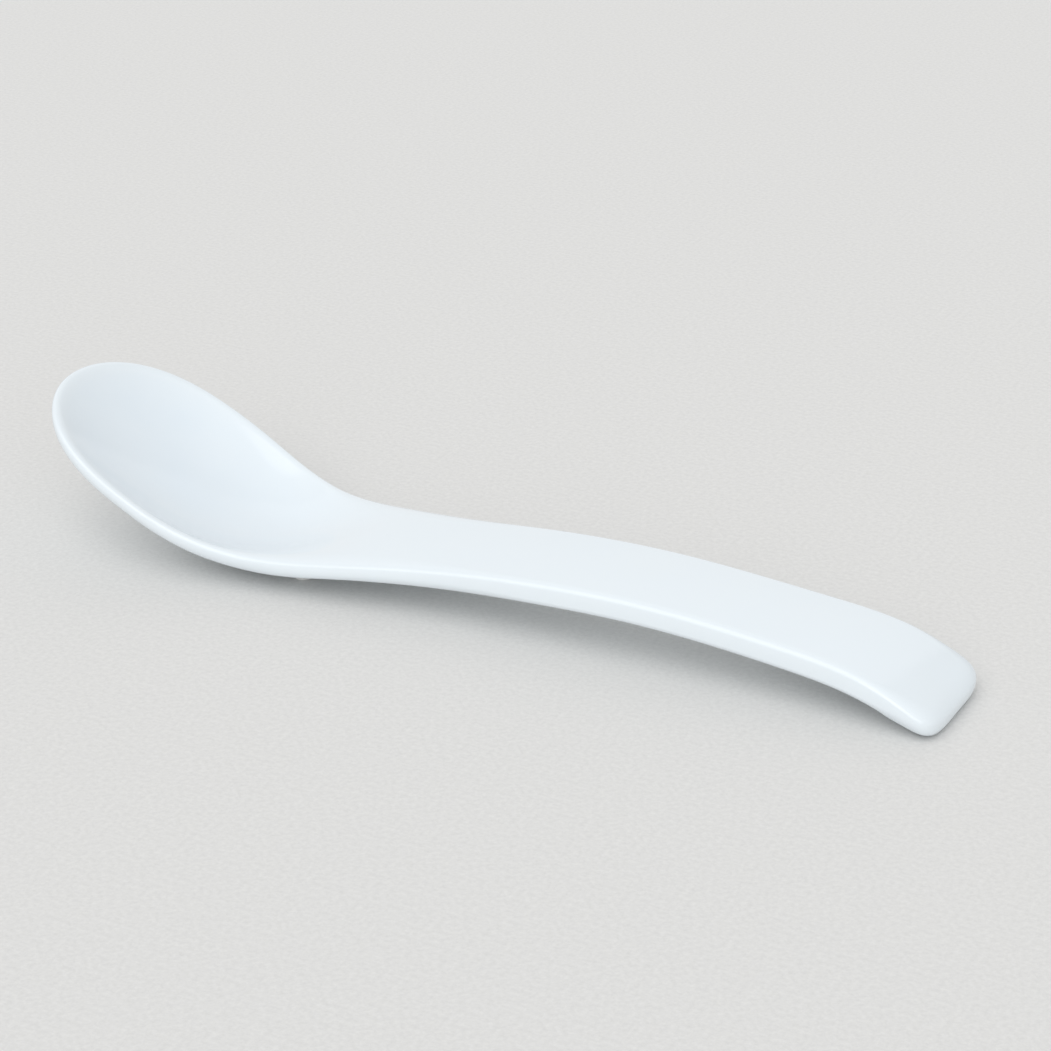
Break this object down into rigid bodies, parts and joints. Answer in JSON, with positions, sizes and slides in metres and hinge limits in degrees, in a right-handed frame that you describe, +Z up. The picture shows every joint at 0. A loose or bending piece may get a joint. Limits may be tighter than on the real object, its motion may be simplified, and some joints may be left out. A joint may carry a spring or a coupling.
{
  "type": "porcelain spoon",
  "caption": "Glossy white glazed porcelain spoon with an upturned oval bowl, a smooth neck and a broad arched handle that ends square with rounded corners.",
  "frame": {"origin": "on the table, under the middle of the spoon's length and on its mirror plane", "axes": "+X from the bowl tip to the handle end, +Y across, +Z up from the table"},
  "size_m": [0.14, 0.0332, 0.0223],
  "materials": {
    "bare_clay": "unglazed fired porcelain, matt",
    "white_glaze": "opaque cool white glaze, glossy"
  },
  "bodies": {
    "root": {"porcelain_body": "bare_clay", "glaze_coat": "white_glaze", "foot_left": "bare_clay", "foot_right": "bare_clay"}
  },
  "joints": []
}
